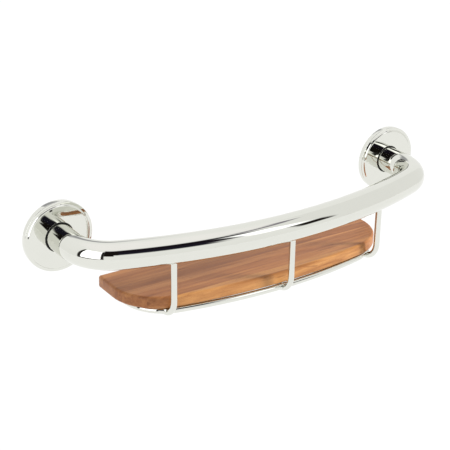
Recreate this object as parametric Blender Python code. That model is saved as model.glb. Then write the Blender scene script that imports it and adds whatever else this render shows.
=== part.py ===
"""Curved wall grab bar with hidden fixings, a wire shelf frame and a wooden shelf.

Frame: metres, +Z up. The wall is the plane y = 0, the room is on the -Y side and +X runs along
the wall. The origin is on the wall, midway between the bar's two necks, at the tube's height.
"""

import math

import bmesh
import bpy
from mathutils import Vector

# Grab rail: one bent tube
BAR_LENGTH = 0.465        # between the axes of the two necks
TUBE_RADIUS = 0.016
TUBE_WALL = 0.0015
NECK_LENGTH = 0.036       # from the wall to the start of the bend
BEND_RADIUS = 0.0485
FRONT_RADIUS = 0.586      # the long curve of the grip

# Wall plates, seals and covers
SEAL_THICKNESS = 0.0007
SEAL_RADIUS = 0.0390
PLATE_BACK = 0.0010       # height of the plate's back face above the wall
PLATE_THICKNESS = 0.003
PLATE_RADIUS = 0.0394
PLATE_BORE = 0.012
COVER_RADIUS = 0.041
COVER_DEPTH = 0.008
COVER_SHEET = 0.0009
COVER_FACE = 0.036        # radius of the raised flat face
COVER_STEP = 0.0018       # width and drop of the step round it
COVER_STEP_DROP = 0.0017
COVER_EDGE = 0.0005       # softened outer edge
COVER_HOLE = 0.0174
RING_RADIUS = 0.0205      # the ring's hidden flange, behind the cover's face
RING_SINK = 0.0006        # the ring's lip stands this far under the cover's face
RING_CLEARANCE = 0.0012   # between the ring and the plate

# Fixing screws, three to a plate
SCREW_CIRCLE = 0.026
SCREW_ANGLES = (90.0, 210.0, 330.0)
SCREW_RADIUS = 0.0023
SCREW_HEAD = 0.0046
SCREW_REACH = 0.021       # how far a screw goes into the wall
SCREW_POINT = 0.004       # length of the tapered point
SCREW_SINK = 0.0001       # the head sits this far under the plate's face
SCREW_RIM = 0.0002        # height of the head's cylindrical edge
RECESS_DEPTH = 0.0016
RECESS_TOP = 0.0019
RECESS_BOTTOM = 0.0009
HOLE_RADIUS = 0.0027
HOLE_CLEARANCE = 0.0005   # between a screw's head and its countersink

# Shelf frame
ROD_RADIUS = 0.0037
ROD_PLACES = {"left": -0.142, "middle": 0.0035, "right": 0.144}
ROD_BEND = 0.0218
ROD_END = -0.0085
RAIL_CENTRE = -0.004      # the rail sits a little to the left, as the board does
RAIL_HALF_LENGTH = 0.166
RAIL_FRONT = -0.1025      # the rail runs inside the rods' bends, along the board's lower edge
RAIL_FRONT_RADIUS = 0.600
RAIL_CORNER = 0.050
RAIL_BACK = -0.012
RAIL_BACK_CORNER = 0.012
RAIL_RISE = 0.0035        # the rail's axis above the rods' axis
RAIL_CLEARANCE = {"left": 0.0062, "middle": 0.0041, "right": 0.0072}

# Shelf board
BOARD_CENTRE = -0.0036    # the board sits a little to the left
BOARD_HALF_LENGTH = 0.1797
BOARD_FRONT = -0.1035
BOARD_FRONT_RADIUS = 0.7125
BOARD_CORNER = 0.058
BOARD_BACK = -0.0005
BOARD_BACK_CORNER = 0.003
BOARD_THICKNESS = 0.0148
BOARD_BOTTOM = -0.0766
BOARD_ROUND = 0.003

# Tabs and screws that hold the board
TAB_LENGTH = 0.022
TAB_WIDTH = 0.014
TAB_THICKNESS = 0.0032
TAB_CORNER = 0.003
TAB_POSITIONS = (-0.055, -0.027)
BOARD_SCREW_RADIUS = 0.0019
BOARD_SCREW_DEPTH = 0.010
BOARD_SCREW_POINT = 0.003
BOARD_SCREW_PLACE = 0.69  # along the tab, from its rod
PAN_RADIUS = 0.0038
PAN_RIM = 0.0009
PAN_HEIGHT = 0.0021

GAP = 0.0003              # left between pieces that touch
ROUND_STEPS = 40          # sides of the large turned pieces
SMALL_STEPS = 16          # sides of screws and their holes

# Heights of the shelf frame under the board: tabs first, then the rods and the rail
ROD_HEIGHT = BOARD_BOTTOM - TAB_THICKNESS - 2 * GAP - ROD_RADIUS
RAIL_HEIGHT = ROD_HEIGHT + RAIL_RISE

SIDES = {"left": -1, "right": 1}


def clear_scene():
    for old in list(bpy.data.objects):
        bpy.data.objects.remove(old, do_unlink=True)


def material(name, colour, roughness, metallic):
    made = bpy.data.materials.new(name)
    made.use_nodes = True
    shader = made.node_tree.nodes["Principled BSDF"]
    shader.inputs["Base Color"].default_value = (*colour, 1.0)
    shader.inputs["Roughness"].default_value = roughness
    shader.inputs["Metallic"].default_value = metallic
    return made


def add_object(name, data, finish):
    made = bpy.data.objects.new(name, data)
    bpy.context.collection.objects.link(made)
    data.materials.append(finish)
    return made


def facing_room(thing, x, z=0.0):
    """Stand a piece on the wall: its own +Z points into the room."""
    thing.location = (x, 0.0, z)
    thing.rotation_euler = (math.radians(90), 0.0, 0.0)


def smooth(mesh):
    mesh.shade_smooth()
    mesh.set_sharp_from_angle(angle=math.radians(35))


def arc(centre, radius, start, end, steps):
    """Points on an arc in the XY plane, angles in radians."""
    turns = [start + (end - start) * i / steps for i in range(steps + 1)]
    return [(centre[0] + radius * math.cos(t), centre[1] + radius * math.sin(t)) for t in turns]


def lathe(name, profile, finish, steps=ROUND_STEPS):
    """Turn a closed (radius, height) loop round Z. The loop runs down its outer side."""
    mesh = bpy.data.meshes.new(name)
    edges = [(i, (i + 1) % len(profile)) for i in range(len(profile))]
    mesh.from_pydata([(r, 0.0, h) for r, h in profile], edges, [])
    made = add_object(name, mesh, finish)
    add_screw(made, steps)
    return made


def spindle(name, profile, finish, steps=SMALL_STEPS):
    """Turn an open (radius, height) line that starts and ends on the axis."""
    mesh = bpy.data.meshes.new(name)
    edges = [(i, i + 1) for i in range(len(profile) - 1)]
    mesh.from_pydata([(r, 0.0, h) for r, h in profile], edges, [])
    made = add_object(name, mesh, finish)
    add_screw(made, steps)
    return made


def add_screw(thing, steps):
    turn = thing.modifiers.new("turn", "SCREW")
    turn.axis = "Z"
    turn.steps = steps
    turn.render_steps = steps
    turn.use_merge_vertices = True
    turn.merge_threshold = 0.00001
    turn.use_smooth_shade = True


def slab(name, outline, low, high, finish):
    """Extrude a flat (x, y) outline from height low to height high."""
    mesh = bpy.data.meshes.new(name)
    shape = bmesh.new()
    base = shape.faces.new([shape.verts.new((x, y, low)) for x, y in outline])
    grown = bmesh.ops.extrude_face_region(shape, geom=[base])
    top = [v for v in grown["geom"] if isinstance(v, bmesh.types.BMVert)]
    bmesh.ops.translate(shape, verts=top, vec=Vector((0.0, 0.0, high - low)))
    bmesh.ops.recalc_face_normals(shape, faces=shape.faces)
    shape.to_mesh(mesh)
    shape.free()
    return add_object(name, mesh, finish)


def wire(name, points, radius, finish, closed=False, sides=12, capped=True):
    """A round bar along a line of points, as a mesh."""
    curve = bpy.data.curves.new(name, "CURVE")
    curve.dimensions = "3D"
    curve.bevel_depth = radius
    curve.bevel_resolution = (sides - 4) // 2
    curve.use_fill_caps = capped
    line = curve.splines.new("POLY")
    line.points.add(len(points) - 1)
    for knot, place in zip(line.points, points):
        knot.co = (*place, 1.0)
    line.use_cyclic_u = closed
    guide = bpy.data.objects.new(name, curve)
    bpy.context.collection.objects.link(guide)
    view = bpy.context.evaluated_depsgraph_get()
    mesh = bpy.data.meshes.new_from_object(guide.evaluated_get(view))
    bpy.data.objects.remove(guide, do_unlink=True)
    shape = bmesh.new()
    shape.from_mesh(mesh)
    bmesh.ops.remove_doubles(shape, verts=shape.verts, dist=0.00001)
    bmesh.ops.recalc_face_normals(shape, faces=shape.faces)
    shape.to_mesh(mesh)
    shape.free()
    mesh.name = name
    smooth(mesh)
    return add_object(name, mesh, finish)


def cut(thing, cutter):
    """Take the cutter's shape out of a piece."""
    cutter.hide_render = True
    cutter.display_type = "WIRE"
    hole = thing.modifiers.new("cut " + cutter.name, "BOOLEAN")
    hole.operation = "DIFFERENCE"
    hole.object = cutter


def front_centre():
    """Centre of the grip's long curve, and its angle at the end of each bend."""
    reach = FRONT_RADIUS - BEND_RADIUS
    angle = math.asin((BAR_LENGTH / 2 - BEND_RADIUS) / reach)
    return -NECK_LENGTH + reach * math.cos(angle), angle


def grip_y(x):
    """How far out the tube's centre line is at x, along the front curve."""
    return front_centre()[0] - math.sqrt(FRONT_RADIUS ** 2 - x ** 2)


def tube_path():
    centre_y, angle = front_centre()
    start = -PLATE_BACK - PLATE_THICKNESS - GAP
    bend_x = BAR_LENGTH / 2 - BEND_RADIUS
    turn = math.pi / 2 - angle
    half = [(-BAR_LENGTH / 2, start), (-BAR_LENGTH / 2, (start - NECK_LENGTH) / 2)]
    half += arc((-bend_x, -NECK_LENGTH), BEND_RADIUS, math.pi, math.pi + turn, 9)
    front = arc((0.0, centre_y), FRONT_RADIUS, -math.pi / 2 - angle, -math.pi / 2 + angle, 16)
    return [(x, y, 0.0) for x, y in half + front[1:-1] + mirrored(half)]


def grab_rail(chrome):
    tube = wire("grab_rail", tube_path(), TUBE_RADIUS, chrome, sides=20, capped=False)
    wall = tube.modifiers.new("wall", "SOLIDIFY")
    wall.thickness = TUBE_WALL
    wall.offset = -1.0
    wall.use_even_offset = True


def screw_places(side):
    """Each fixing screw's number and its place on the wall."""
    for number, degrees in enumerate(SCREW_ANGLES, start=1):
        turn = math.radians(degrees)
        x = SIDES[side] * BAR_LENGTH / 2 + SCREW_CIRCLE * math.cos(turn)
        yield number, x, SCREW_CIRCLE * math.sin(turn)


def screw_hole(name, x, z, finish):
    """Cutter for a plate's countersunk hole."""
    front = PLATE_BACK + PLATE_THICKNESS
    margin = 0.002
    flare = SCREW_HEAD + HOLE_CLEARANCE - HOLE_RADIUS
    profile = [
        (0.0, front + margin),
        (HOLE_RADIUS + flare + margin, front + margin),
        (HOLE_RADIUS, front - flare),
        (HOLE_RADIUS, -margin),
        (0.0, -margin),
    ]
    cutter = spindle(name, profile, finish)
    facing_room(cutter, x, z)
    return cutter


def wall_fixing(side, plate_steel, foam, screw_steel):
    """Plate, seal and screws of one side."""
    x = SIDES[side] * BAR_LENGTH / 2
    front = PLATE_BACK + PLATE_THICKNESS
    plate_profile = [
        (PLATE_BORE, front),
        (PLATE_RADIUS, front),
        (PLATE_RADIUS, PLATE_BACK),
        (PLATE_BORE, PLATE_BACK),
    ]
    plate = lathe("mount_plate_" + side, plate_profile, plate_steel)
    facing_room(plate, x)
    seal_profile = [
        (PLATE_BORE, SEAL_THICKNESS),
        (SEAL_RADIUS, SEAL_THICKNESS),
        (SEAL_RADIUS, 0.0),
        (PLATE_BORE, 0.0),
    ]
    seal = lathe("wall_seal_" + side, seal_profile, foam)
    facing_room(seal, x)
    for number, screw_x, screw_z in screw_places(side):
        cutter = screw_hole(f"hole_{side}_{number}", screw_x, screw_z, plate_steel)
        cut(plate, cutter)
        cut(seal, cutter)
        screw = fixing_screw(f"fixing_screw_{side}_{number}", screw_steel)
        facing_room(screw, screw_x, screw_z)


def fixing_screw(name, steel):
    """Countersunk screw with a cross recess, seated just under the plate's face."""
    top = PLATE_BACK + PLATE_THICKNESS - SCREW_SINK
    taper = SCREW_HEAD - SCREW_RADIUS
    profile = [
        (0.0, top - RECESS_DEPTH),
        (RECESS_BOTTOM, top - RECESS_DEPTH),
        (RECESS_TOP, top),
        (SCREW_HEAD, top),
        (SCREW_HEAD, top - SCREW_RIM),
        (SCREW_RADIUS, top - SCREW_RIM - taper),
        (SCREW_RADIUS, SCREW_POINT - SCREW_REACH),
        (0.0, -SCREW_REACH),
    ]
    return spindle(name, profile, steel)


def cover(side, chrome, rubber):
    """Thin round cover and the ring that centres it on the neck."""
    inner = COVER_RADIUS - COVER_SHEET
    under = COVER_DEPTH - COVER_SHEET
    foot = COVER_FACE + COVER_STEP
    rim = COVER_DEPTH - COVER_STEP_DROP
    profile = [
        (COVER_HOLE, COVER_DEPTH),
        (COVER_FACE, COVER_DEPTH),
        (foot, rim),
        (COVER_RADIUS - COVER_EDGE, rim),
        (COVER_RADIUS, rim - COVER_EDGE),
        (COVER_RADIUS, 0.0),
        (inner, 0.0),
        (inner, rim - COVER_SHEET),
        (foot - COVER_SHEET / 2, rim - COVER_SHEET),
        (COVER_FACE - COVER_SHEET / 2, under),
        (COVER_HOLE, under),
    ]
    shell = lathe("cover_" + side, profile, chrome)
    facing_room(shell, SIDES[side] * BAR_LENGTH / 2)
    lip = COVER_HOLE - GAP
    bore = TUBE_RADIUS + GAP
    ring_top = COVER_DEPTH - RING_SINK
    shoulder = under - GAP
    ring_bottom = PLATE_BACK + PLATE_THICKNESS + RING_CLEARANCE
    ring_profile = [
        (bore, ring_top),
        (lip, ring_top),
        (lip, shoulder),
        (RING_RADIUS, shoulder),
        (RING_RADIUS, ring_bottom),
        (bore, ring_bottom),
    ]
    ring = lathe("cover_ring_" + side, ring_profile, rubber, steps=32)
    facing_room(ring, SIDES[side] * BAR_LENGTH / 2)


def shelf_rod(name, x, chrome):
    """A rod that drops from the tube and turns back under the board."""
    front = grip_y(x)
    top = -TUBE_RADIUS - GAP
    quarter = arc((front + ROD_BEND, ROD_HEIGHT + ROD_BEND), ROD_BEND, math.pi, 1.5 * math.pi, 7)
    points = [(x, front, top)]
    points += [(x, y, z) for y, z in quarter]
    points.append((x, ROD_END, ROD_HEIGHT))
    wire(name, points, ROD_RADIUS, chrome)


def d_half(half_length, back, front, front_radius, corner, back_corner, steps):
    """Right half of a D: from the middle of the bowed front, round the end, to the straight back."""
    centre_y = front + front_radius
    corner_x = half_length - corner
    corner_y = centre_y - math.sqrt((front_radius - corner) ** 2 - corner_x ** 2)
    meet = math.atan2(corner_x, centre_y - corner_y)
    down = -math.pi / 2
    half = arc((0.0, centre_y), front_radius, down, down + meet, steps)
    half += arc((corner_x, corner_y), corner, down + meet, 0.0, steps)[1:]
    half += arc((half_length - back_corner, back - back_corner), back_corner, 0.0, math.pi / 2, 4)
    return half


def mirrored(line):
    return [(-x, y) for x, y in reversed(line)]


def shifted(line, distance):
    return [(x + distance, y) for x, y in line]


def clipped(line, low, high):
    """The part of a line whose x lies between two limits, cut exactly at them."""
    part = []
    for (x0, y0), (x1, y1) in zip(line, line[1:]):
        for limit in (low, high):
            if (x0 - limit) * (x1 - limit) < 0:
                part.append((limit, y0 + (y1 - y0) * (limit - x0) / (x1 - x0)))
        if low <= x1 <= high:
            part.append((x1, y1))
    return part


def rail_piece(name, line, chrome):
    wire("shelf_rail_" + name, [(x, y, RAIL_HEIGHT) for x, y in line], ROD_RADIUS, chrome)


def shelf_rail(chrome):
    """The rail, in six pieces that are welded between the rods."""
    half = d_half(
        RAIL_HALF_LENGTH, RAIL_BACK, RAIL_FRONT, RAIL_FRONT_RADIUS, RAIL_CORNER,
        RAIL_BACK_CORNER, 8
    )
    tip = max(range(len(half)), key=lambda i: half[i][0])
    front = shifted(mirrored(half[1:tip]) + half[:tip], RAIL_CENTRE)
    edges = {
        side: (x - RAIL_CLEARANCE[side], x + RAIL_CLEARANCE[side])
        for side, x in ROD_PLACES.items()
    }
    for side, low, high in (
        ("left", edges["left"][1], edges["middle"][0]),
        ("right", edges["middle"][1], edges["right"][0]),
    ):
        rail_piece("front_" + side, clipped(front, low, high), chrome)
        back = [(low, RAIL_BACK), ((low + high) / 2, RAIL_BACK), (high, RAIL_BACK)]
        rail_piece("back_" + side, back, chrome)
    end = half + [(0.0, RAIL_BACK)]
    right = shifted(end, RAIL_CENTRE)
    rail_piece("right", clipped(right, edges["right"][1], BAR_LENGTH), chrome)
    left = shifted(mirrored(end), RAIL_CENTRE)
    rail_piece("left", clipped(left, -BAR_LENGTH, edges["left"][0]), chrome)


def shelf_board(wood):
    half = d_half(
        BOARD_HALF_LENGTH, BOARD_BACK, BOARD_FRONT, BOARD_FRONT_RADIUS, BOARD_CORNER,
        BOARD_BACK_CORNER, 10
    )
    outline = shifted(half + mirrored(half[1:]), BOARD_CENTRE)
    board = slab("shelf_board", outline, BOARD_BOTTOM, BOARD_BOTTOM + BOARD_THICKNESS, wood)
    edges = board.modifiers.new("round edges", "BEVEL")
    edges.width = BOARD_ROUND
    edges.segments = 3
    edges.limit_method = "ANGLE"
    edges.angle_limit = math.radians(60)
    return board


def upright(name, profile, x, y, finish):
    """A small turned piece that stands along Z."""
    made = spindle(name, profile, finish)
    made.location = (x, y, 0.0)
    return made


def board_fixing(name, rod_x, y, board, steel, screw_steel):
    """A tab that lies on an outer rod, with the screw that holds the board down on it."""
    inward = -1 if rod_x > 0 else 1
    near = rod_x - inward * ROD_RADIUS
    far = near + inward * TAB_LENGTH
    low_x, high_x = sorted((near, far))
    low_y = y - TAB_WIDTH / 2
    high_y = y + TAB_WIDTH / 2
    outline = []
    for cx, cy, start in (
        (high_x, low_y, -90), (high_x, high_y, 0), (low_x, high_y, 90), (low_x, low_y, 180)
    ):
        inner_x = cx - TAB_CORNER if cx == high_x else cx + TAB_CORNER
        inner_y = cy - TAB_CORNER if cy == high_y else cy + TAB_CORNER
        first = math.radians(start)
        outline += arc((inner_x, inner_y), TAB_CORNER, first, first + math.pi / 2, 3)
    top = BOARD_BOTTOM - GAP
    bottom = top - TAB_THICKNESS
    tab = slab("shelf_tab_" + name, outline, bottom, top, steel)
    hole_x = near + inward * TAB_LENGTH * BOARD_SCREW_PLACE
    clearance = BOARD_SCREW_RADIUS + GAP
    hole_top = BOARD_BOTTOM + BOARD_SCREW_DEPTH + GAP
    beyond = bottom - TAB_THICKNESS
    drill = [(0.0, hole_top), (clearance, hole_top), (clearance, beyond), (0.0, beyond)]
    cutter = upright("drill_" + name, drill, hole_x, y, steel)
    cut(tab, cutter)
    cut(board, cutter)
    point = BOARD_BOTTOM + BOARD_SCREW_DEPTH
    seat = bottom - GAP
    crown = seat - PAN_HEIGHT
    profile = [
        (0.0, point),
        (BOARD_SCREW_RADIUS, point - BOARD_SCREW_POINT),
        (BOARD_SCREW_RADIUS, seat),
        (PAN_RADIUS, seat),
        (PAN_RADIUS, seat - PAN_RIM),
        (PAN_RADIUS * 0.6, crown),
        (RECESS_BOTTOM, crown),
        (0.0, seat - PAN_RIM),
    ]
    upright("shelf_screw_" + name, profile, hole_x, y, screw_steel)


def build():
    clear_scene()
    chrome = material("polished chrome", (0.86, 0.86, 0.83), 0.06, 1.0)
    plate_steel = material("plate steel", (0.62, 0.62, 0.60), 0.35, 1.0)
    screw_steel = material("screw steel", (0.68, 0.67, 0.64), 0.28, 1.0)
    foam = material("seal foam", (0.05, 0.05, 0.05), 0.85, 0.0)
    rubber = material("black rubber", (0.02, 0.02, 0.02), 0.6, 0.0)
    wood = material("oiled hardwood", (0.46, 0.22, 0.11), 0.5, 0.0)
    grab_rail(chrome)
    for side in SIDES:
        wall_fixing(side, plate_steel, foam, screw_steel)
        cover(side, chrome, rubber)
    for side, x in ROD_PLACES.items():
        shelf_rod("shelf_rod_" + side, x, chrome)
    shelf_rail(chrome)
    board = shelf_board(wood)
    for side in SIDES:
        for place, y in zip(("front", "back"), TAB_POSITIONS):
            board_fixing(f"{side}_{place}", ROD_PLACES[side], y, board, plate_steel, screw_steel)


build()
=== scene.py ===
"""Looks of the curved wall grab bar with a wooden shelf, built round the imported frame.

Metres, +Z up. The wall is the plane y = 0, the room is on the -Y side and +X runs along the wall.
"""

import math

import bmesh
import bpy
from mathutils import Matrix, Vector


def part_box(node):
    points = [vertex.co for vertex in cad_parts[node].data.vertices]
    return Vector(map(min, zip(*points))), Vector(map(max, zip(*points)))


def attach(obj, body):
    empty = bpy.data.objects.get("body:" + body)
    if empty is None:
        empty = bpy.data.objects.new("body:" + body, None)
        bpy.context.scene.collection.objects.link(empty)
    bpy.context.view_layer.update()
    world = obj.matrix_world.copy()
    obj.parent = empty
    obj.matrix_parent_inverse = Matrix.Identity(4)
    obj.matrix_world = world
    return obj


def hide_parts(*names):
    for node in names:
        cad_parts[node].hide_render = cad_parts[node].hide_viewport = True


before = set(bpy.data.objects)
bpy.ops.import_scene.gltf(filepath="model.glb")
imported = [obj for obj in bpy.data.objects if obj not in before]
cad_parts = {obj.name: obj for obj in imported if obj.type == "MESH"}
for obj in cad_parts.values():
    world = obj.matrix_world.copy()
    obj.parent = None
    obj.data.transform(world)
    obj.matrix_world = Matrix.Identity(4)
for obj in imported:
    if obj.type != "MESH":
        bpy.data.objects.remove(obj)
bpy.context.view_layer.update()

SIDES = {"left": -1, "right": 1}
ROD_NAMES = ("shelf_rod_left", "shelf_rod_middle", "shelf_rod_right")
RAIL_NAMES = ("front_left", "front_right", "left", "right", "back_left", "back_right")
TAB_NAMES = ("left_front", "left_back", "right_front", "right_back")


def centre(node):
    low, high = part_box(node)
    return (low + high) / 2


# Sizes of the frame, read from its nodes
NECK_X = centre("cover_right").x
TUBE_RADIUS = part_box("grab_rail")[1].z
TUBE_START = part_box("grab_rail")[1].y
PLATE_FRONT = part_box("mount_plate_left")[0].y
PLATE_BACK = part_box("mount_plate_left")[1].y
PLATE_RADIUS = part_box("mount_plate_left")[1].z
SEAL_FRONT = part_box("wall_seal_left")[0].y
SEAL_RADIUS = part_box("wall_seal_left")[1].z
COVER_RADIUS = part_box("cover_left")[1].z
COVER_DEPTH = -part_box("cover_left")[0].y
BOARD_LOW, BOARD_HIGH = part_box("shelf_board")
RAIL_LOW_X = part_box("shelf_rail_left")[0].x
RAIL_HIGH_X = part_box("shelf_rail_right")[1].x
RAIL_FRONT_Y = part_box("shelf_rail_front_left")[0].y
RAIL_BACK = centre("shelf_rail_back_right")

# Shapes that a box can't give, as in the design
TUBE_WALL = 0.0015
NECK_LENGTH = 0.036
BEND_RADIUS = 0.0485
FRONT_RADIUS = 0.586
COVER_SHEET = 0.0009
COVER_FACE = 0.0366
COVER_STEP_FOOT = 0.0378
COVER_STEP_DROP = 0.0017
COVER_HOLE = 0.0174
BORE = 0.012
HOLE_RADIUS = 0.0027
SCREW_RADIUS = 0.0023
SCREW_HEAD = 0.0046
ROD_RADIUS = 0.0037
ROD_BEND = 0.0218
ROD_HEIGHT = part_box("shelf_rod_left")[0].z + ROD_RADIUS
RAIL_FRONT_RADIUS = 0.600
RAIL_CORNER = 0.050
RAIL_BACK_CORNER = 0.012
BOARD_FRONT_RADIUS = 0.7125
BOARD_CORNER = 0.058
BOARD_BACK_CORNER = 0.0035
BOARD_ROUND = 0.003
TAB_CORNER = 0.003
BOARD_SCREW_RADIUS = 0.0019
BOARD_SCREW_POINT = 0.003
BOARD_DRILL_RADIUS = 0.0022
PAN_RADIUS = 0.0038
GAP = 0.0003              # between pieces that touch
ON_AXIS = 0.00001         # the radius that stands for the axis in a turned shape
STRIP_WIDTH = 0.013
# How each strip of the board differs from the common tone, front strip first. The other strips differ
# at random; the much lighter front strip is painted light, standing for the front edge lit by the key
# light
STRIP_TONES_AND_LIT_FRONT = [
    (1.16, 1.30, 1.22), (1.02, 1.04, 1.02), (0.92, 0.88, 0.86), (1.04, 1.05, 1.06),
    (0.96, 0.93, 0.92), (1.06, 1.08, 1.08), (0.90, 0.86, 0.84), (1.00, 1.00, 1.00),
]


# ---------------------------------------------------------------- materials

def new_material(name):
    made = bpy.data.materials.new(name)
    made.use_nodes = True
    tree = made.node_tree
    return made, tree, tree.nodes["Principled BSDF"]


def node(tree, kind, inputs=None, **settings):
    made = tree.nodes.new(kind)
    for name, value in settings.items():
        setattr(made, name, value)
    for name, value in (inputs or {}).items():
        socket = made.inputs[name]
        if isinstance(value, bpy.types.NodeSocket):
            tree.links.new(value, socket)
        else:
            socket.default_value = value
    return made


def place(tree, scale):
    """Object-space position, in metres, stretched by scale."""
    here = node(tree, "ShaderNodeTexCoord")
    mapping = node(tree, "ShaderNodeMapping", {"Vector": here.outputs["Object"], "Scale": scale})
    return mapping.outputs["Vector"]


def noise(tree, vector, scale, detail=3.0, rough=0.5, distortion=0.0):
    made = node(tree, "ShaderNodeTexNoise", {
        "Vector": vector, "Scale": scale, "Detail": detail,
        "Roughness": rough, "Distortion": distortion,
    })
    return made.outputs["Fac"]


def ramp(tree, value, stops):
    made = node(tree, "ShaderNodeValToRGB", {"Fac": value})
    points = made.color_ramp.elements
    while len(points) < len(stops):
        points.new(0.5)
    for point, (position, colour) in zip(points, stops):
        point.position = position
        point.color = (*colour, 1.0)
    return made.outputs["Color"]


def remap(tree, value, low, high, new_low, new_high, smooth=False):
    made = node(tree, "ShaderNodeMapRange", {
        "Value": value, "From Min": low, "From Max": high, "To Min": new_low, "To Max": new_high,
    })
    if smooth:
        made.interpolation_type = "SMOOTHSTEP"
    return made.outputs["Result"]


def maths(tree, operation, first, second=0.0):
    return node(tree, "ShaderNodeMath", {0: first, 1: second}, operation=operation).outputs[0]


def mix(tree, factor, first, second, blend="MIX"):
    made = node(tree, "ShaderNodeMix", data_type="RGBA", blend_type=blend)
    for number, value in ((0, factor), (6, first), (7, second)):
        if isinstance(value, bpy.types.NodeSocket):
            tree.links.new(value, made.inputs[number])
        elif number == 0:
            made.inputs[0].default_value = value
        else:
            made.inputs[number].default_value = (*value, 1.0)
    return made.outputs[2]


def bump(tree, height, strength, distance, normal=None):
    made = node(tree, "ShaderNodeBump", {
        "Height": height, "Strength": strength, "Distance": distance,
    })
    if normal is not None:
        tree.links.new(normal, made.inputs["Normal"])
    return made.outputs["Normal"]


def chrome_material(name, colour):
    """Mirror-polished plate: a slow waviness from polishing, fine wipe marks and faint haze."""
    made, tree, shader = new_material(name)
    shader.inputs["Metallic"].default_value = 1.0
    slow = noise(tree, place(tree, (1, 1, 1)), 22.0, detail=2.0)
    fine = noise(tree, place(tree, (1, 1, 1)), 900.0, detail=4.0, rough=0.65)
    haze = noise(tree, place(tree, (1, 1, 1)), 60.0, detail=3.0, rough=0.6)
    tree.links.new(
        mix(tree, remap(tree, haze, 0.3, 0.7, 0.0, 1.0), colour, [c * 0.985 for c in colour]),
        shader.inputs["Base Color"],
    )
    tree.links.new(remap(tree, haze, 0.35, 0.75, 0.025, 0.06), shader.inputs["Roughness"])
    wavy = bump(tree, slow, 0.25, 0.0004)
    tree.links.new(bump(tree, fine, 0.02, 0.00005, wavy), shader.inputs["Normal"])
    return made


def brushed_material(name, colour, rough):
    made, tree, shader = new_material(name)
    shader.inputs["Metallic"].default_value = 1.0
    lines = noise(tree, place(tree, (40, 1, 900)), 3.0, detail=4.0, rough=0.6)
    blotch = noise(tree, place(tree, (1, 1, 1)), 90.0, detail=3.0)
    tree.links.new(
        mix(tree, blotch, colour, [c * 0.86 for c in colour]), shader.inputs["Base Color"]
    )
    tree.links.new(
        remap(tree, lines, 0.3, 0.7, rough - 0.08, rough + 0.1), shader.inputs["Roughness"]
    )
    tree.links.new(bump(tree, lines, 0.25, 0.00005), shader.inputs["Normal"])
    return made


def rubber_material(name, colour, grain):
    made, tree, shader = new_material(name)
    pores = noise(tree, place(tree, (1, 1, 1)), grain, detail=4.0, rough=0.7)
    tree.links.new(
        mix(tree, pores, colour, [c * 2.2 for c in colour]), shader.inputs["Base Color"]
    )
    tree.links.new(remap(tree, pores, 0.3, 0.7, 0.6, 0.85), shader.inputs["Roughness"])
    tree.links.new(bump(tree, pores, 0.5, 0.0002), shader.inputs["Normal"])
    return made


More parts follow.
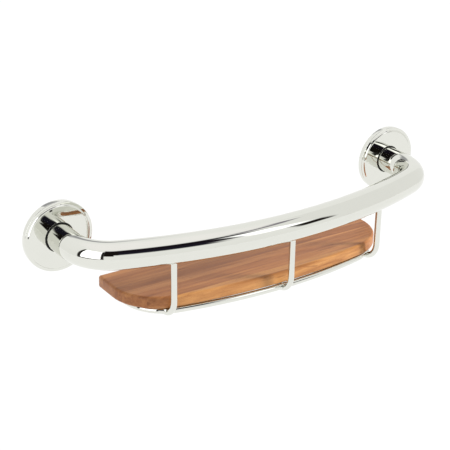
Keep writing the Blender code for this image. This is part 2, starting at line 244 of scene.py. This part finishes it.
def wood_material(name):
    """Oiled hardwood glued up from strips that run along X, with long fine grain."""
    made, tree, shader = new_material(name)
    here = node(tree, "ShaderNodeTexCoord").outputs["Object"]
    axes = node(tree, "ShaderNodeSeparateXYZ", {0: here})
    from_front = maths(tree, "SUBTRACT", axes.outputs["Y"], BOARD_LOW.y)
    number = maths(tree, "DIVIDE", from_front, STRIP_WIDTH)
    strip = maths(tree, "FLOOR", number)
    shift = node(tree, "ShaderNodeCombineXYZ", {0: maths(tree, "MULTIPLY", strip, 0.37), 1: strip})
    moved = node(tree, "ShaderNodeVectorMath", {
        0: here, 1: shift.outputs["Vector"],
    }, operation="ADD").outputs["Vector"]
    long_grain = node(tree, "ShaderNodeMapping", {"Vector": moved, "Scale": (9, 300, 300)})
    fibres = noise(tree, long_grain.outputs["Vector"], 1.0, detail=6.0, rough=0.62, distortion=0.3)
    rings_place = node(tree, "ShaderNodeMapping", {"Vector": moved, "Scale": (5.0, 75, 60)})
    rings = noise(tree, rings_place.outputs["Vector"], 1.0, detail=4.0, distortion=1.2)
    pores_place = node(tree, "ShaderNodeMapping", {"Vector": moved, "Scale": (110, 2600, 2600)})
    pores = noise(tree, pores_place.outputs["Vector"], 1.0, detail=2.0, rough=0.7)
    tone = ramp(tree, rings, [
        (0.32, (0.190, 0.061, 0.018)),
        (0.48, (0.345, 0.133, 0.045)),
        (0.68, (0.500, 0.224, 0.080)),
    ])
    fibre_tone = ramp(tree, fibres, [
        (0.30, (0.222, 0.074, 0.021)),
        (0.55, (0.375, 0.149, 0.051)),
        (0.80, (0.525, 0.241, 0.088)),
    ])
    body = mix(tree, 0.5, tone, fibre_tone)
    # Strip tones, with painted light in them: the lighter front strip stands for the front edge lit
    # by the key light
    strips = node(tree, "ShaderNodeValToRGB", {"Fac": remap(tree, strip, 0, 8, 0.02, 1.02)})
    strips.color_ramp.interpolation = "CONSTANT"
    points = strips.color_ramp.elements
    while len(points) < len(STRIP_TONES_AND_LIT_FRONT):
        points.new(0.5)
    for i, (point, paint) in enumerate(zip(points, STRIP_TONES_AND_LIT_FRONT)):
        point.position = i / 8
        point.color = (*paint, 1.0)
    body = mix(tree, 1.0, body, strips.outputs["Color"], blend="MULTIPLY")
    streak_place = node(tree, "ShaderNodeMapping", {"Vector": moved, "Scale": (17, 150, 120)})
    streaks = noise(tree, streak_place.outputs["Vector"], 1.0, detail=3.0, distortion=0.8)
    streak_mask = remap(tree, streaks, 0.60, 0.72, 0.0, 0.6)
    body = mix(tree, streak_mask, body, (0.170, 0.055, 0.018))
    pore_mask = remap(tree, pores, 0.30, 0.40, 0.55, 0.0)
    body = mix(tree, pore_mask, body, (0.12, 0.035, 0.015))
    tree.links.new(body, shader.inputs["Base Color"])
    tree.links.new(remap(tree, fibres, 0.3, 0.7, 0.36, 0.50), shader.inputs["Roughness"])
    shader.inputs["Specular IOR Level"].default_value = 0.3
    shader.inputs["Coat Weight"].default_value = 0.08
    shader.inputs["Coat Roughness"].default_value = 0.25
    grooves = bump(tree, pores, 0.25, 0.00006)
    tree.links.new(bump(tree, fibres, 0.2, 0.00012, grooves), shader.inputs["Normal"])
    return made


# ---------------------------------------------------------------- mesh helpers

def add_piece(name, mesh, finish, body, nodes):
    """Link a finished mesh, parent it to the body it rides on, and hide the solids it stands for."""
    made = bpy.data.objects.new(name, mesh)
    bpy.context.scene.collection.objects.link(made)
    mesh.materials.clear()
    mesh.materials.append(finish)
    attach(made, body)
    if nodes:
        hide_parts(*nodes)
    return made


def mesh_from(name, points, faces, sharp=None):
    mesh = bpy.data.meshes.new(name)
    mesh.from_pydata([tuple(p) for p in points], [], faces)
    shape = bmesh.new()
    shape.from_mesh(mesh)
    bmesh.ops.remove_doubles(shape, verts=shape.verts, dist=0.000002)
    bmesh.ops.recalc_face_normals(shape, faces=shape.faces)
    shape.to_mesh(mesh)
    shape.free()
    mesh.shade_smooth()
    if sharp is not None:
        mesh.set_sharp_from_angle(angle=math.radians(sharp))
    return mesh


def grid_faces(rows, columns, wrap_rows=False):
    """Quads between rows of points; each row wraps round."""
    faces = []
    for i in range(rows if wrap_rows else rows - 1):
        for j in range(columns):
            a = i * columns + j
            b = i * columns + (j + 1) % columns
            c = ((i + 1) % rows) * columns + (j + 1) % columns
            d = ((i + 1) % rows) * columns + j
            faces.append((a, b, c, d))
    return faces


def end_faces(rows, columns):
    """The two faces that close a grid of points at its first and last rows."""
    count = rows * columns
    return [tuple(range(columns)), tuple(range(count - columns, count))]


def arc(centre_point, radius, start, end, steps):
    turns = [start + (end - start) * i / steps for i in range(steps + 1)]
    return [
        (centre_point[0] + radius * math.cos(t), centre_point[1] + radius * math.sin(t))
        for t in turns
    ]


def rounded(corners, steps=6):
    """A closed or open (radius, height) line with its corners rounded: [(r, h, round), ...]."""
    points = []
    count = len(corners)
    for i, (r, h, size) in enumerate(corners):
        here = Vector((r, h))
        before = Vector(corners[i - 1][:2])
        after = Vector(corners[(i + 1) % count][:2])
        if size == 0.0:
            points.append((r, h))
            continue
        into = (before - here).normalized()
        out = (after - here).normalized()
        half = into.angle(out) / 2
        reach = size / math.tan(half)
        middle = here + (into + out).normalized() * size / math.sin(half)
        first = here + into * reach - middle
        last = here + out * reach - middle
        sweep = first.angle_signed(last)
        for k in range(steps + 1):
            turned = first.copy()
            turned.rotate(Matrix.Rotation(-sweep * k / steps, 2))
            spot = middle + turned
            points.append((spot.x, spot.y))
    return points


def lathe_mesh(name, profile, steps, x=0.0, z=0.0, closed=True, sharp=40):
    """Turn a (radius, height) line round an axis that stands on the wall at (x, z)."""
    points = []
    for r, h in profile:
        for j in range(steps):
            turn = 2 * math.pi * j / steps
            points.append((x + r * math.cos(turn), -h, z + r * math.sin(turn)))
    faces = grid_faces(len(profile), steps, wrap_rows=closed)
    return mesh_from(name, points, faces, sharp)


def sweep_mesh(name, path, across, radius, sides, inner=None, closed=False, ends=None):
    """A round bar or tube along a flat path. across is the direction square to the path's plane."""
    across = Vector(across)
    count = len(path)
    radii = ends or [radius] * count
    rows = []
    for skin in ([None] if inner is None else [None, inner]):
        row_range = range(count) if skin is None else reversed(range(count))
        for i in row_range:
            before = path[i - 1] if i > 0 or closed else path[i]
            after = path[(i + 1) % count] if i < count - 1 or closed else path[i]
            along = (after - before).normalized()
            side = along.cross(across)
            size = radii[i] if skin is None else skin
            rows.append([
                path[i] + size * (math.cos(t) * across + math.sin(t) * side)
                for t in (2 * math.pi * j / sides for j in range(sides))
            ])
    points = [p for row in rows for p in row]
    faces = grid_faces(len(rows), sides, wrap_rows=closed or inner is not None)
    if not closed and inner is None:
        faces += end_faces(len(rows), sides)
    return mesh_from(name, points, faces, 40)


def join(name, meshes):
    """Several meshes as one."""
    whole = bmesh.new()
    for mesh in meshes:
        whole.from_mesh(mesh)
    made = bpy.data.meshes.new(name)
    whole.to_mesh(made)
    whole.free()
    return made


# ---------------------------------------------------------------- grab rail

def front_centre():
    reach = FRONT_RADIUS - BEND_RADIUS
    angle = math.asin((NECK_X - BEND_RADIUS) / reach)
    return -NECK_LENGTH + reach * math.cos(angle), angle


def grip_y(x):
    return front_centre()[0] - math.sqrt(FRONT_RADIUS ** 2 - x ** 2)


def tube_path():
    centre_y, angle = front_centre()
    bend_x = NECK_X - BEND_RADIUS
    turn = math.pi / 2 - angle
    down = -math.pi / 2
    half = [(-NECK_X, TUBE_START + (-NECK_LENGTH - TUBE_START) * i / 6) for i in range(6)]
    half += arc((-bend_x, -NECK_LENGTH), BEND_RADIUS, math.pi, math.pi + turn, 28)
    front = arc((0.0, centre_y), FRONT_RADIUS, down - angle, down + angle, 90)
    mirrored = [(-x, y) for x, y in reversed(half)]
    return [Vector((x, y, 0.0)) for x, y in half + front[1:-1] + mirrored]


def grab_rail(chrome):
    mesh = sweep_mesh(
        "tube", tube_path(), (0, 0, 1), TUBE_RADIUS, 96, inner=TUBE_RADIUS - TUBE_WALL
    )
    add_piece("bar_tube", mesh, chrome, "bar", ["grab_rail"])
    for side, sign in SIDES.items():
        bead = weld_ring("neck_weld_" + side, sign * NECK_X)
        add_piece("neck_weld_" + side, bead, chrome, "bar", [])


def weld_ring(name, x):
    """The fillet weld between the tube's end and its plate, with the ripples of a weld run."""
    leg = 0.0011
    foot = -PLATE_FRONT
    steps = 144
    points = []
    rows = 7
    for i in range(rows):
        t = i / (rows - 1)
        for j in range(steps):
            turn = 2 * math.pi * j / steps
            ripple = 1 + 0.10 * math.cos(36 * turn)
            bulge = math.sin(math.pi * t) * 0.00018 * ripple
            r = TUBE_RADIUS + leg * (1 - t) * ripple + bulge
            h = foot + leg * t * ripple + bulge
            points.append((x + r * math.cos(turn), -h, r * math.sin(turn)))
    for j in range(steps):
        turn = 2 * math.pi * j / steps
        points.append((
            x + (TUBE_RADIUS - 0.0002) * math.cos(turn), -foot,
            (TUBE_RADIUS - 0.0002) * math.sin(turn),
        ))
    faces = grid_faces(rows + 1, steps, wrap_rows=True)
    return mesh_from(name, points, faces, 60)


# ---------------------------------------------------------------- wall fixings and covers

def cover(side, chrome, rubber):
    x = SIDES[side] * NECK_X
    inner = COVER_RADIUS - COVER_SHEET
    under = COVER_DEPTH - COVER_SHEET
    rim = COVER_DEPTH - COVER_STEP_DROP
    profile = rounded([
        (COVER_HOLE, COVER_DEPTH, 0.0003),
        (COVER_FACE, COVER_DEPTH, 0.0022),
        (COVER_STEP_FOOT, rim, 0.0003),
        (COVER_RADIUS, rim - 0.0001, 0.0006),
        (COVER_RADIUS, 0.0, 0.00015),
        (inner, 0.0, 0.00015),
        (inner, rim - COVER_SHEET, 0.0003),
        (COVER_STEP_FOOT - COVER_SHEET, rim - COVER_SHEET, 0.0006),
        (COVER_FACE - COVER_SHEET, under, 0.0008),
        (COVER_HOLE, under, 0.0003),
    ])
    mesh = lathe_mesh("cover_shell_" + side, profile, 144, x, sharp=30)
    add_piece("cover_shell_" + side, mesh, chrome, side + "_cover", ["cover_" + side])
    lip = COVER_HOLE - 0.00005
    bore = TUBE_RADIUS + 0.00015
    ring_top = COVER_DEPTH - 0.0005
    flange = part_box("cover_ring_" + side)[1].z
    ring_bottom = -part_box("cover_ring_" + side)[1].y
    ring = rounded([
        (bore, ring_top, 0.0004),
        (lip, ring_top, 0.0003),
        (lip, under - GAP, 0.0),
        (flange, under - GAP, 0.0003),
        (flange, ring_bottom, 0.0003),
        (bore, ring_bottom, 0.0003),
    ], steps=4)
    ring_mesh = lathe_mesh("neck_ring_" + side, ring, 96, x)
    add_piece(
        "neck_ring_" + side, ring_mesh, rubber, side + "_cover", ["cover_ring_" + side]
    )


def wall_fixing(side, plate_steel, foam, screw_steel):
    x = SIDES[side] * NECK_X
    plate = rounded([
        (BORE, -PLATE_FRONT, 0.0003),
        (PLATE_RADIUS, -PLATE_FRONT, 0.0004),
        (PLATE_RADIUS, -PLATE_BACK, 0.0003),
        (BORE, -PLATE_BACK, 0.0003),
    ], steps=3)
    seal = rounded([
        (BORE, -SEAL_FRONT, 0.0001),
        (SEAL_RADIUS, -SEAL_FRONT, 0.0001),
        (SEAL_RADIUS, 0.0, 0.0001),
        (BORE, 0.0, 0.0001),
    ], steps=2)
    plate_mesh = lathe_mesh("plate_" + side, plate, 144, x)
    seal_mesh = lathe_mesh("seal_" + side, seal, 144, x)
    plate_piece = add_piece(
        "plate_" + side, plate_mesh, plate_steel, "bar", ["mount_plate_" + side]
    )
    seal_piece = add_piece(
        "seal_" + side, seal_mesh, foam, "bar", ["wall_seal_" + side]
    )
    drills = []
    for number in (1, 2, 3):
        node_name = f"fixing_screw_{side}_{number}"
        spot = centre(node_name)
        drills.append(drill_mesh(spot.x, spot.z))
        screw = fixing_screw(node_name, spot.x, spot.z)
        name = node_name.replace("fixing_screw_", "wood_screw_")
        add_piece(name, screw, screw_steel, "bar", [node_name])
    cutter = join("drills_" + side, drills)
    cut(plate_piece, cutter)
    cut(seal_piece, cutter)


def drill_mesh(x, z):
    front = -PLATE_FRONT
    margin = 0.002
    flare = SCREW_HEAD + 0.0005 - HOLE_RADIUS
    profile = [
        (ON_AXIS, front + margin),
        (HOLE_RADIUS + flare + margin, front + margin),
        (HOLE_RADIUS, front - flare),
        (HOLE_RADIUS, -margin),
        (ON_AXIS, -margin),
    ]
    return lathe_mesh("drill", profile, 48, x, z)


def cut(piece, cutter_mesh):
    """Take the cutter out of a piece, and keep the result as plain mesh."""
    tool = bpy.data.objects.new("tool", cutter_mesh)
    bpy.context.scene.collection.objects.link(tool)
    hole = piece.modifiers.new("holes", "BOOLEAN")
    hole.operation = "DIFFERENCE"
    hole.object = tool
    bpy.context.view_layer.update()
    view = bpy.context.evaluated_depsgraph_get()
    result = bpy.data.meshes.new_from_object(piece.evaluated_get(view))
    piece.modifiers.remove(hole)
    piece.data = result
    result.set_sharp_from_angle(angle=math.radians(30))
    bpy.data.objects.remove(tool, do_unlink=True)


def fixing_screw(name, x, z):
    """Countersunk wall screw: a round cone dimple standing for the cross recess, plain neck, then a
    spaced thread down to a point.
    """
    top = -PLATE_FRONT - 0.0001
    low = -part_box(name)[1].y
    taper = SCREW_HEAD - SCREW_RADIUS
    head = [
        (ON_AXIS, top - 0.0014), (0.0009, top - 0.0012), (0.0018, top),
        (SCREW_HEAD - 0.0002, top), (SCREW_HEAD, top - 0.0001), (SCREW_HEAD, top - 0.0003),
        (SCREW_RADIUS, top - 0.0003 - taper),
    ]
    neck_end = -PLATE_BACK - 0.002
    core = SCREW_RADIUS * 0.74
    pitch = 0.0021
    steps = 32
    point_length = 0.004
    rows = [[(r, h)] * steps for r, h in head]
    thread_rows = int((neck_end - low) / (pitch / 9))
    for i in range(thread_rows + 1):
        h = neck_end + (low - neck_end) * i / thread_rows
        taper_now = min(1.0, (h - low) / point_length)
        fade = min(1.0, (neck_end - h) / 0.001)
        row = []
        for j in range(steps):
            phase = ((neck_end - h) / pitch - j / steps) % 1.0
            crest = max(0.0, 1 - abs(phase - 0.5) / 0.22)
            thread = core + (SCREW_RADIUS - core) * crest
            r = (SCREW_RADIUS * 0.86) * (1 - fade) + thread * fade
            row.append((max(r * taper_now, 0.00002), h))
        rows.append(row)
    points = []
    for row in rows:
        for j, (r, h) in enumerate(row):
            turn = 2 * math.pi * j / steps
            points.append((x + r * math.cos(turn), -h, z + r * math.sin(turn)))
    return mesh_from(name + "_mesh", points, grid_faces(len(rows), steps), 35)


# ---------------------------------------------------------------- shelf frame

def shelf_rod(name, chrome):
    """Rod down from the tube and back under the board, with a smooth weld collar on the tube."""
    x = centre(name).x
    front = grip_y(x)
    sunk = 0.0006
    back_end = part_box(name)[1].y
    quarter = arc(
        (front + ROD_BEND, ROD_HEIGHT + ROD_BEND), ROD_BEND, math.pi, 1.5 * math.pi, 18
    )
    points = [Vector((x, front, -TUBE_RADIUS + sunk)), Vector((x, front, -0.04))]
    points += [Vector((x, y, z)) for y, z in quarter]
    points.append(Vector((x, -0.05, ROD_HEIGHT)))
    tip = 0.0007
    radii = [ROD_RADIUS] * len(points)
    for back, size in ((tip, 1.0), (tip * 0.4, 0.93), (0.0, 0.76)):
        points.append(Vector((x, back_end - back, ROD_HEIGHT)))
        radii.append(ROD_RADIUS * size)
    rod = sweep_mesh(name + "_bar", points, (1, 0, 0), ROD_RADIUS, 32, ends=radii)
    collar = weld_collar(x, front)
    mesh = join(name + "_mesh", [rod, collar])
    add_piece(name.replace("shelf_rod_", "hanger_"), mesh, chrome, "bar", [name])


def weld_collar(x, y):
    """A small flared fillet where a rod meets the round underside of the tube."""
    slope = x / FRONT_RADIUS
    across = Vector((-slope, 1.0, 0.0)).normalized()
    flare = 0.0011
    steps = 48
    rows = 8
    points = []
    for i in range(rows):
        t = i / (rows - 1)
        turn_in = math.pi / 2 * t
        for j in range(steps):
            turn = 2 * math.pi * j / steps
            r = ROD_RADIUS + flare * (1 - math.sin(turn_in)) * 0.999
            spot = Vector((math.cos(turn), math.sin(turn), 0.0))
            edge = abs((spot * (ROD_RADIUS + flare)).dot(across))
            surface = -math.sqrt(TUBE_RADIUS ** 2 - edge ** 2)
            height = surface - flare * (1 - math.cos(turn_in))
            points.append((x + r * spot.x, y + r * spot.y, height))
    for j in range(steps):
        turn = 2 * math.pi * j / steps
        points.append((
            x + ROD_RADIUS * 0.9 * math.cos(turn), y + ROD_RADIUS * 0.9 * math.sin(turn),
            -TUBE_RADIUS + 0.0008,
        ))
    return mesh_from("collar", points, grid_faces(rows + 1, steps, wrap_rows=True), 60)


def d_outline(half_length, back, front, front_radius, corner, back_corner, steps, inset=0.0):
    """A D shape: bowed front, round front corners, straight back; drawn in by inset."""
    centre_y = front + front_radius
    corner_x = half_length - corner
    corner_y = centre_y - math.sqrt((front_radius - corner) ** 2 - corner_x ** 2)
    meet = math.atan2(corner_x, centre_y - corner_y)
    down = -math.pi / 2
    small = back_corner - inset
    right = arc((0.0, centre_y), front_radius - inset, down, down + meet, steps)
    right += arc((corner_x, corner_y), corner - inset, down + meet, 0.0, steps)[1:]
    right += arc((half_length - back_corner, back - back_corner), small, 0.0, math.pi / 2, 6)
    left = [(-x, y) for x, y in reversed(right[1:])]
    return right + left


def shelf_rail(chrome):
    """The rail as one closed ring, let into the rods where it is welded to them."""
    height = RAIL_BACK.z
    half = (RAIL_HIGH_X - RAIL_LOW_X) / 2 - ROD_RADIUS
    middle = (RAIL_HIGH_X + RAIL_LOW_X) / 2
    outline = d_outline(
        half, RAIL_BACK.y, RAIL_FRONT_Y + ROD_RADIUS, RAIL_FRONT_RADIUS, RAIL_CORNER,
        RAIL_BACK_CORNER, 24
    )
    outline = [(x + middle, y) for x, y in outline]
    path = [Vector((x, y, height)) for x, y in outline]
    parts = [sweep_mesh("rail", path, (0, 0, 1), ROD_RADIUS, 32, closed=True)]
    for name in ROD_NAMES:
        x = centre(name).x
        for y, direction in crossings(outline, x):
            for side in (-1, 1):
                parts.append(weld_fillet(Vector((x, y, height)), direction * side))
    nodes = ["shelf_rail_" + name for name in RAIL_NAMES]
    add_piece("wire_rail", join("rail_mesh", parts), chrome, "bar", nodes)


def crossings(outline, x):
    """Where a closed outline passes a given x: the y there and the line's direction toward +X."""
    found = []
    for (x0, y0), (x1, y1) in zip(outline, outline[1:] + outline[:1]):
        if (x0 - x) * (x1 - x) < 0:
            direction = Vector((x1 - x0, y1 - y0, 0.0)).normalized()
            if direction.x < 0:
                direction = -direction
            found.append((y0 + (y1 - y0) * (x - x0) / (x1 - x0), direction))
    return found


def weld_fillet(spot, direction):
    """A small flare of weld on the rail, just beside the rod it meets."""
    steps = 40
    rows = 7
    flare = 0.0010
    side = direction.cross(Vector((0, 0, 1)))
    points = []
    for i in range(rows):
        t = i / (rows - 1)
        out = ROD_RADIUS * 0.55 + (ROD_RADIUS * 0.45 + 2.2 * flare) * t
        r = ROD_RADIUS * 1.002 + flare * (1 - t) ** 2 * 0.6
        for j in range(steps):
            turn = 2 * math.pi * j / steps
            ring = side * math.cos(turn) * r + Vector((0, 0, math.sin(turn) * r))
            points.append(spot + direction * out + ring)
    faces = grid_faces(rows, steps) + end_faces(rows, steps)
    return mesh_from("fillet", points, faces, 50)


# ---------------------------------------------------------------- shelf board

def shelf_board(wood):
    half = (BOARD_HIGH.x - BOARD_LOW.x) / 2
    middle = (BOARD_HIGH.x + BOARD_LOW.x) / 2
    low, high = BOARD_LOW.z, BOARD_HIGH.z
    layers = []
    steps = 8
    for i in range(steps + 1):
        turn = math.pi / 2 * i / steps
        layers.append((BOARD_ROUND * (1 - math.sin(turn)), low + BOARD_ROUND * (1 - math.cos(turn))))
    for i in range(steps + 1):
        turn = math.pi / 2 * i / steps
        layers.append((BOARD_ROUND * (1 - math.cos(turn)), high - BOARD_ROUND * (1 - math.sin(turn))))
    layers = [(BOARD_ROUND + 0.0003, low)] + layers + [(BOARD_ROUND + 0.0003, high)]
    points = []
    for inset, z in layers:
        ring = d_outline(
            half, BOARD_HIGH.y, BOARD_LOW.y, BOARD_FRONT_RADIUS, BOARD_CORNER,
            BOARD_BACK_CORNER, 32, inset
        )
        points += [(x + middle, y, z) for x, y in ring]
    columns = len(ring)
    faces = grid_faces(len(layers), columns) + end_faces(len(layers), columns)
    mesh = mesh_from("board", points, faces)
    piece = add_piece("shelf_plank", mesh, wood, "bar", ["shelf_board"])
    drills = []
    for name in TAB_NAMES:
        screw = centre("shelf_screw_" + name)
        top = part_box("shelf_screw_" + name)[1].z + GAP
        beyond = low - 0.001
        drills.append(upright_mesh("drill", [
            (ON_AXIS, top), (BOARD_DRILL_RADIUS, top), (BOARD_DRILL_RADIUS, beyond),
            (ON_AXIS, beyond),
        ], 32, screw.x, screw.y))
    cut(piece, join("board_drills", drills))
    piece.data.set_sharp_from_angle(angle=math.radians(50))


def upright_mesh(name, profile, steps, x, y, closed=False, sharp=40):
    """Turn a (radius, height) line round a vertical axis at (x, y)."""
    points = []
    for r, h in profile:
        for j in range(steps):
            turn = 2 * math.pi * j / steps
            points.append((x + r * math.cos(turn), y + r * math.sin(turn), h))
    return mesh_from(name, points, grid_faces(len(profile), steps, wrap_rows=closed), sharp)


def board_fixing(name, steel, screw_steel):
    """A rounded tab on an outer rod and its pan-head screw."""
    low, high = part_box("shelf_tab_" + name)
    edge = 0.0003
    layers = [(edge, low.z), (0.0, low.z + edge), (0.0, high.z - edge), (edge, high.z)]
    points = []
    for inset, z in layers:
        size = TAB_CORNER - inset
        right, left = high.x - TAB_CORNER, low.x + TAB_CORNER
        back, front = high.y - TAB_CORNER, low.y + TAB_CORNER
        for cx, cy, start in (
            (right, front, -90), (right, back, 0), (left, back, 90), (left, front, 180),
        ):
            first = math.radians(start)
            points += [(x, y, z) for x, y in arc((cx, cy), size, first, first + math.pi / 2, 6)]
    columns = len(points) // len(layers)
    faces = grid_faces(len(layers), columns) + end_faces(len(layers), columns)
    mesh = mesh_from("tab_" + name, points, faces, 25)
    piece = add_piece("tab_" + name, mesh, steel, "bar", ["shelf_tab_" + name])
    screw = "shelf_screw_" + name
    spot = centre(screw)
    bottom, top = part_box(screw)
    over, under = high.z + 0.001, low.z - 0.001
    drill = upright_mesh("drill", [
        (ON_AXIS, over), (BOARD_DRILL_RADIUS, over), (BOARD_DRILL_RADIUS, under),
        (ON_AXIS, under),
    ], 32, spot.x, spot.y)
    cut(piece, drill)
    head = PAN_RADIUS
    seat = low.z - GAP
    profile = [
        (ON_AXIS, top.z), (BOARD_SCREW_RADIUS, top.z - BOARD_SCREW_POINT),
        (BOARD_SCREW_RADIUS, seat), (head - 0.0003, seat),
        (head, seat - 0.0002), (head, seat - 0.0008), (head * 0.93, seat - 0.0013),
        (head * 0.78, seat - 0.0017), (head * 0.58, bottom.z), (0.0013, bottom.z),
        (0.0007, seat - 0.0012), (ON_AXIS, seat - 0.0011),
    ]
    turned = upright_mesh("pan_screw_" + name, profile, 40, spot.x, spot.y)
    add_piece("pan_screw_" + name, turned, screw_steel, "bar", [screw])


# ---------------------------------------------------------------- studio

FLOOR_Z = -1.2
LEFT_FILL = 0.70
RIGHT_FILL = 1.10
CAMERA_AIM = Vector((-0.0437, -0.05, -0.0130))
CAMERA_DISTANCE = 1.460
CAMERA_AZIMUTH = math.radians(-33.76)
CAMERA_ELEVATION = math.radians(23.86)
CAMERA_ROLL = math.radians(0.99)
CAMERA_LENS = 101.85


def camera():
    data = bpy.data.cameras.new("camera")
    data.sensor_width = 36.0
    data.lens = CAMERA_LENS
    data.clip_end = 60.0
    made = bpy.data.objects.new("camera", data)
    bpy.context.scene.collection.objects.link(made)
    back = Vector((
        math.sin(CAMERA_AZIMUTH) * math.cos(CAMERA_ELEVATION),
        -math.cos(CAMERA_AZIMUTH) * math.cos(CAMERA_ELEVATION),
        math.sin(CAMERA_ELEVATION),
    ))
    right = Vector((0, 0, 1)).cross(back).normalized()
    up = back.cross(right)
    turned_right = right * math.cos(CAMERA_ROLL) + up * math.sin(CAMERA_ROLL)
    turned_up = up * math.cos(CAMERA_ROLL) - right * math.sin(CAMERA_ROLL)
    axes = Matrix((turned_right, turned_up, back)).transposed()
    made.matrix_world = Matrix.Translation(CAMERA_AIM + back * CAMERA_DISTANCE) @ axes.to_4x4()
    bpy.context.scene.camera = made


def patch(tree, turn, rise, box, soft):
    """1 inside a box of directions (left, right, low, high), in degrees, with soft edges."""
    left, right, low, high = box
    sides = []
    for value, edge, way in ((turn, left, 1), (turn, right, -1), (rise, low, 1), (rise, high, -1)):
        a, b = edge - way * soft / 2, edge + way * soft / 2
        sides.append(remap(tree, value, a, b, 0.0, 1.0, smooth=True))
    whole = maths(tree, "MULTIPLY", sides[0], sides[1])
    whole = maths(tree, "MULTIPLY", whole, sides[2])
    return maths(tree, "MULTIPLY", whole, sides[3])


# What the polished metal mirrors: (left, right, low, high) in degrees, edge softness, colour.
# Turn 0 is straight out from the wall, positive to the right; rise is above the horizon.
STUDIO = [
    ((-200, 200, 60, 100), 14, (1.08, 1.06, 1.07)),      # the pale ceiling
    ((-95, -43, -12, 48), 3, (0.02, 0.018, 0.016)),      # the left softbox's dark housing
    ((-62, -46, -38, -8), 3, (0.03, 0.028, 0.025)),      # its stand
    ((-45, 40, 33, 57), 6, (0.010, 0.007, 0.012)),       # dark gap over the camera
    ((-22, 16, 24, 40), 8, (0.012, 0.011, 0.020)),       # dark wall behind the camera
    ((-44, -24, 17, 50), 3, (0.010, 0.008, 0.007)),      # its lower corner
    ((-36, -14, 25, 50), 5, (0.010, 0.008, 0.007)),
    ((-88, -49, -6, 48), 2, (2.2, 2.2, 2.25)),           # the left softbox
    ((42, 88, 40, 60), 4, (0.25, 0.23, 0.27)),           # the right screen's frame
    ((44, 114, -60, 56), 3, (0.94, 0.94, 0.93)),         # the right screen
    ((25, 43, 28, 48), 8, (1.9, 1.9, 1.95)),             # glow round the key light
    ((35, 46, 11, 27), 4, (0.015, 0.012, 0.010)),        # dark wedge beside the screen
    ((150, 215, 24, 40), 8, (0.40, 0.40, 0.42)),         # grey gap behind the wall
]


def studio():
    world = bpy.data.worlds.new("studio")
    bpy.context.scene.world = world
    world.use_nodes = True
    tree = world.node_tree
    tree.nodes.clear()
    way = node(tree, "ShaderNodeTexCoord").outputs["Generated"]
    axes = node(tree, "ShaderNodeSeparateXYZ", {0: way})
    turn = maths(
        tree, "ARCTAN2", axes.outputs["X"], maths(tree, "MULTIPLY", axes.outputs["Y"], -1.0)
    )
    turn = maths(tree, "DEGREES", turn)
    rise = maths(tree, "DEGREES", maths(tree, "ARCSINE", axes.outputs["Z"]))
    colour = ramp(tree, remap(tree, rise, -90, 90, 0.0, 1.0), [
        (0.0, (1.0, 1.0, 1.0)), (0.5, (0.99, 0.99, 0.98)), (1.0, (1.05, 1.05, 1.05)),
    ])
    for box, soft, paint in STUDIO:
        colour = mix(tree, patch(tree, turn, rise, box, soft), colour, paint)
    paths = node(tree, "ShaderNodeLightPath").outputs
    side = remap(tree, axes.outputs["X"], -1.0, 1.0, LEFT_FILL, RIGHT_FILL)
    fill = node(tree, "ShaderNodeCombineColor", {0: side, 1: side, 2: side}).outputs["Color"]
    colour = mix(tree, paths["Is Diffuse Ray"], colour, fill)
    colour = mix(tree, paths["Is Camera Ray"], colour, (1.02, 1.02, 1.02))
    background = node(tree, "ShaderNodeBackground", {"Color": colour, "Strength": 1.0})
    out = node(tree, "ShaderNodeOutputWorld")
    tree.links.new(background.outputs[0], out.inputs["Surface"])


def key_light(turn, rise, spread, strength):
    """A broad, far light. It isn't mirrored: the studio's own glow stands for it there."""
    data = bpy.data.lights.new("key_light", "SUN")
    data.energy = strength
    data.angle = math.radians(spread)
    made = bpy.data.objects.new("key_light", data)
    bpy.context.scene.collection.objects.link(made)
    a, e = math.radians(turn), math.radians(rise)
    way = Vector((math.sin(a) * math.cos(e), -math.cos(a) * math.cos(e), math.sin(e)))
    made.rotation_mode = "QUATERNION"
    made.rotation_quaternion = way.to_track_quat("Z", "Y")
    made.visible_glossy = False


def floor():
    mesh = bpy.data.meshes.new("studio_floor")
    size = 6.0
    corners = [(-size, -size), (size, -size), (size, size), (-size, size)]
    mesh.from_pydata([(x, y, FLOOR_Z) for x, y in corners], [], [(0, 1, 2, 3)])
    made = bpy.data.objects.new("studio_floor", mesh)
    bpy.context.scene.collection.objects.link(made)
    paint, tree, shader = new_material("floor_paint")
    speckle = noise(tree, place(tree, (1, 1, 1)), 40.0)
    tree.links.new(
        mix(tree, speckle, (0.76, 0.76, 0.76), (0.75, 0.75, 0.748)), shader.inputs["Base Color"]
    )
    shader.inputs["Roughness"].default_value = 0.9
    shader.inputs["Specular IOR Level"].default_value = 0.0
    mesh.materials.append(paint)


def build():
    chrome = chrome_material("polished_chrome", (0.755, 0.760, 0.705))
    plate_steel = brushed_material("plate_steel", (0.60, 0.60, 0.58), 0.34)
    screw_steel = brushed_material("screw_steel", (0.66, 0.65, 0.62), 0.28)
    rubber = rubber_material("black_rubber", (0.012, 0.012, 0.012), 1500.0)
    foam = rubber_material("seal_foam", (0.020, 0.020, 0.021), 700.0)
    wood = wood_material("oiled_hardwood")
    grab_rail(chrome)
    for side in SIDES:
        cover(side, chrome, rubber)
        wall_fixing(side, plate_steel, foam, screw_steel)
    for name in ROD_NAMES:
        shelf_rod(name, chrome)
    shelf_rail(chrome)
    shelf_board(wood)
    for name in TAB_NAMES:
        board_fixing(name, plate_steel, screw_steel)


build()
camera()
studio()
key_light(60, 22, 12, 4.0)
floor()
bpy.context.scene.view_settings.view_transform = "Standard"
